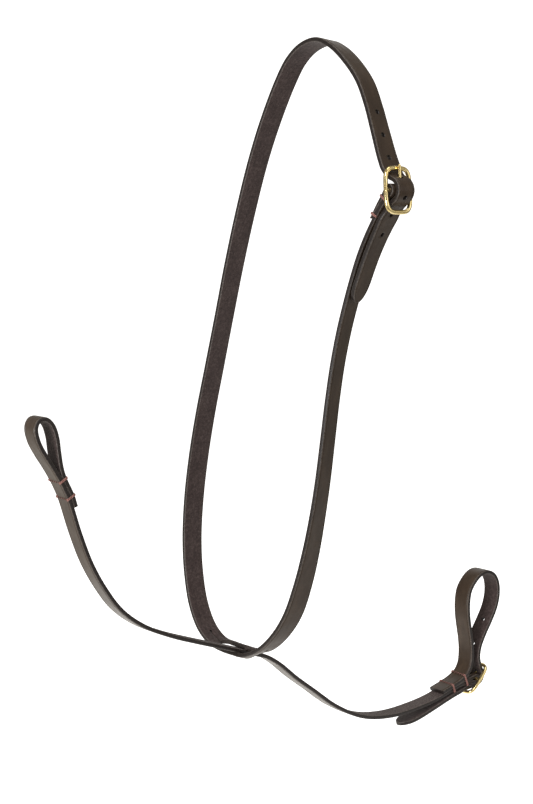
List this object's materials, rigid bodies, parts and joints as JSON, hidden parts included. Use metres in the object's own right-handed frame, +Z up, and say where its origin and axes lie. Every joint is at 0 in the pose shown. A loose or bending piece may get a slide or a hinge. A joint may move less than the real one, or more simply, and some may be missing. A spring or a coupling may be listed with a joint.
{
  "type": "martingale",
  "caption": "Standing martingale in dark bridle leather: neck strap loop with buckle and slit, and a body strap running through it to a sewn noseband loop and a buckled girth loop.",
  "frame": {"origin": "flesh side of the neck strap at the crest of its loop, in the middle of the strap's width", "axes": "+Z up, +Y along the body strap towards the girth loop, +X across the body strap in the plane of the neck loop"},
  "size_m": [0.2645, 0.5092, 0.5979],
  "materials": {
    "bridle_leather": "satin",
    "brass": "polished",
    "thread": "matte"
  },
  "bodies": {
    "neck": {"neck_strap": "bridle_leather", "neck_stitch_upper": "thread", "neck_stitch_lower": "thread"},
    "neck_frame": {"neck_buckle_frame": "brass"},
    "neck_prong": {"neck_buckle_tongue": "brass"},
    "strap": {"body_strap_middle": "bridle_leather"},
    "nose_run": {"body_strap_noseband_run": "bridle_leather"},
    "nose_loop": {"noseband_loop": "bridle_leather", "noseband_stitch_upper": "thread", "noseband_stitch_lower": "thread"},
    "girth_run": {"body_strap_girth_run": "bridle_leather"},
    "girth_end": {"body_strap_girth_end": "bridle_leather", "girth_loop_strap": "bridle_leather", "girth_stitch_inner": "thread", "girth_stitch_outer": "thread"},
    "girth_frame": {"girth_buckle_frame": "brass"},
    "girth_prong": {"girth_buckle_tongue": "brass"}
  },
  "joints": [
    {"name": "neck_frame_tilt", "type": "hinge", "parent": "neck", "child": "neck_frame", "pos_m": [0.081, 0, -0.111], "axis": [0, 1, 0], "range_deg": [-1, 4]},
    {"name": "neck_prong_lift", "type": "hinge", "parent": "neck_frame", "child": "neck_prong", "pos_m": [0.081, 0, -0.111], "axis": [0, 1, 0], "range_deg": [0, 4]},
    {"name": "strap_slide", "type": "slide", "parent": "neck", "child": "strap", "axis": [0, 0.9455, -0.3256], "range_m": [-0.006, 0.01]},
    {"name": "nose_run_bend", "type": "hinge", "parent": "strap", "child": "nose_run", "pos_m": [-0.105, -0.05, -0.4735], "axis": [1, 0, 0], "range_deg": [-25, 25]},
    {"name": "nose_loop_bend", "type": "hinge", "parent": "nose_run", "child": "nose_loop", "pos_m": [-0.105, -0.16, -0.37], "axis": [1, 0, 0], "range_deg": [-25, 25]},
    {"name": "girth_run_bend", "type": "hinge", "parent": "strap", "child": "girth_run", "pos_m": [-0.105, 0.056, -0.523], "axis": [1, 0, 0], "range_deg": [-20, 25]},
    {"name": "girth_end_bend", "type": "hinge", "parent": "girth_run", "child": "girth_end", "pos_m": [-0.105, 0.17, -0.58], "axis": [1, 0, 0], "range_deg": [-20, 20]},
    {"name": "girth_frame_tilt", "type": "hinge", "parent": "girth_end", "child": "girth_frame", "pos_m": [-0.105, 0.281, -0.566], "axis": [-1, 0, 0], "range_deg": [-4, 1]},
    {"name": "girth_prong_lift", "type": "hinge", "parent": "girth_frame", "child": "girth_prong", "pos_m": [-0.105, 0.281, -0.566], "axis": [-1, 0, 0], "range_deg": [0, 4]}
  ]
}
